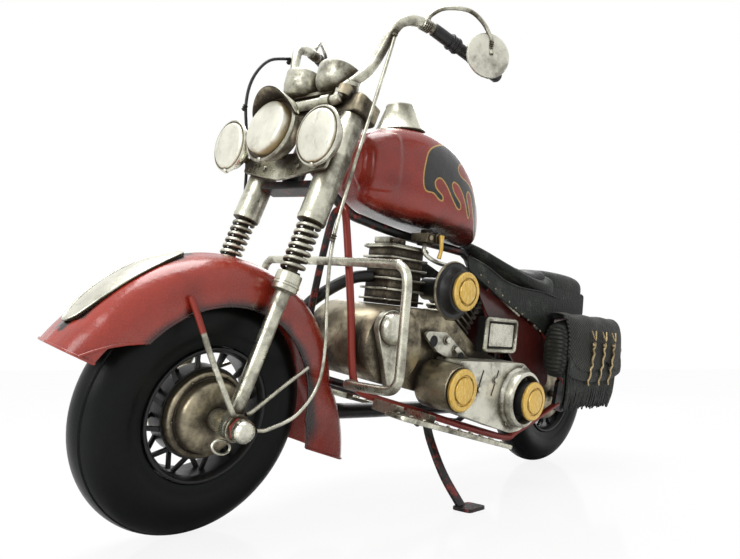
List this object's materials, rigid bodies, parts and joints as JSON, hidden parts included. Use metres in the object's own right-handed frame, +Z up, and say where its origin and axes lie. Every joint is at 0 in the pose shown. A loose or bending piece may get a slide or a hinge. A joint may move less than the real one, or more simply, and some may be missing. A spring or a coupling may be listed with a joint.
{
  "type": "tin model motorcycle",
  "caption": "Handmade tin model of a cruiser motorcycle leaning on its side stand, with steering fork, turning wheels, folding stand and leather-like bags.",
  "frame": {"origin": "centre of the bounding box's base, on the ground the tyres and the stand's foot touch", "axes": "-X is the way the motorcycle faces, -Y its left, +Z up; it leans about 10 degrees to its left on the side stand, with the front wheel turned about 7 degrees to the left"},
  "size_m": [0.3904, 0.142, 0.2533],
  "materials": {
    "tyre": "satin black rubber",
    "spoked_rim": "black painted tin, worn",
    "hub_metal": "silver with brown patina",
    "silver_tin": "distressed silver, brown in the recesses",
    "red_paint": "brick red with black shading",
    "black_paint": "black paint, worn to red at the edges",
    "gold_disc": "gold-yellow, scratched",
    "leather": "dark grey worn leather"
  },
  "bodies": {
    "chassis": {"frame": "black_paint", "engine_guard": "silver_tin", "crankcase": "hub_metal", "timing_cover": "silver_tin", "cylinder_front": "hub_metal", "cylinder_rear": "hub_metal", "air_cleaner": "black_paint", "air_cleaner_disc": "gold_disc", "primary_cover": "silver_tin", "primary_disc_front": "gold_disc", "primary_disc_rear": "gold_disc", "battery_box": "silver_tin", "exhaust": "black_paint", "fuel_tap": "silver_tin", "fuel_pipe": "silver_tin", "tank": "red_paint", "console": "silver_tin", "filler_cap": "red_paint", "rear_fender": "red_paint", "seat": "leather", "pillion_pad": "leather", "saddlebag_l": "leather", "saddlebag_r": "leather", "footboard_l": "silver_tin", "footboard_r": "silver_tin", "rear_signal": "silver_tin", "rear_axle": "silver_tin"},
    "fork": {"lower_yoke": "black_paint", "upper_yoke": "silver_tin", "fork_slider_l": "silver_tin", "fork_slider_r": "silver_tin", "fork_tube_l": "silver_tin", "fork_tube_r": "silver_tin", "fork_spring_l": "silver_tin", "fork_spring_r": "silver_tin", "handlebar": "silver_tin", "grip_l": "black_paint", "grip_r": "black_paint", "mirror_l": "silver_tin", "mirror_r": "silver_tin", "lamp_bar": "silver_tin", "headlamp": "silver_tin", "spot_lamp_l": "silver_tin", "spot_lamp_r": "silver_tin", "gauge_pair": "silver_tin", "cable_l": "silver_tin", "cable_r": "silver_tin", "front_fender": "red_paint", "fender_badge": "silver_tin", "fender_stay_l": "silver_tin", "fender_stay_r": "silver_tin", "front_axle": "silver_tin"},
    "front_wheel": {"front_tyre": "tyre", "front_rim": "spoked_rim", "front_hub": "hub_metal"},
    "rear_wheel": {"rear_tyre": "tyre", "rear_rim": "spoked_rim", "rear_hub": "hub_metal"},
    "side_stand": {"side_stand": "black_paint"},
    "tap_lever": {"tap_lever": "gold_disc"}
  },
  "joints": [
    {"name": "steering", "type": "hinge", "parent": "chassis", "child": "fork", "pos_m": [-0.13399, 0.01583, 0.04945], "axis": [0.3007, -0.16, 0.9402], "range_deg": [-14, 2]},
    {"name": "front_wheel_spin", "type": "hinge", "parent": "fork", "child": "front_wheel", "pos_m": [-0.13399, 0.01583, 0.04945], "axis": [0.1113, -0.9732, -0.2012], "continuous": true},
    {"name": "rear_wheel_spin", "type": "hinge", "parent": "chassis", "child": "rear_wheel", "pos_m": [0.13251, 0.01583, 0.04945], "axis": [0, -0.9858, -0.1678], "continuous": true},
    {"name": "stand_fold", "type": "hinge", "parent": "chassis", "child": "side_stand", "pos_m": [-0.02399, -0.01052, 0.04212], "axis": [0.1549, -0.8587, 0.4885], "range_deg": [0, 60]},
    {"name": "tap_turn", "type": "hinge", "parent": "chassis", "child": "tap_lever", "pos_m": [-0.01629, -0.01801, 0.13498], "axis": [0, -0.9858, -0.1678], "range_deg": [0, 85]}
  ]
}
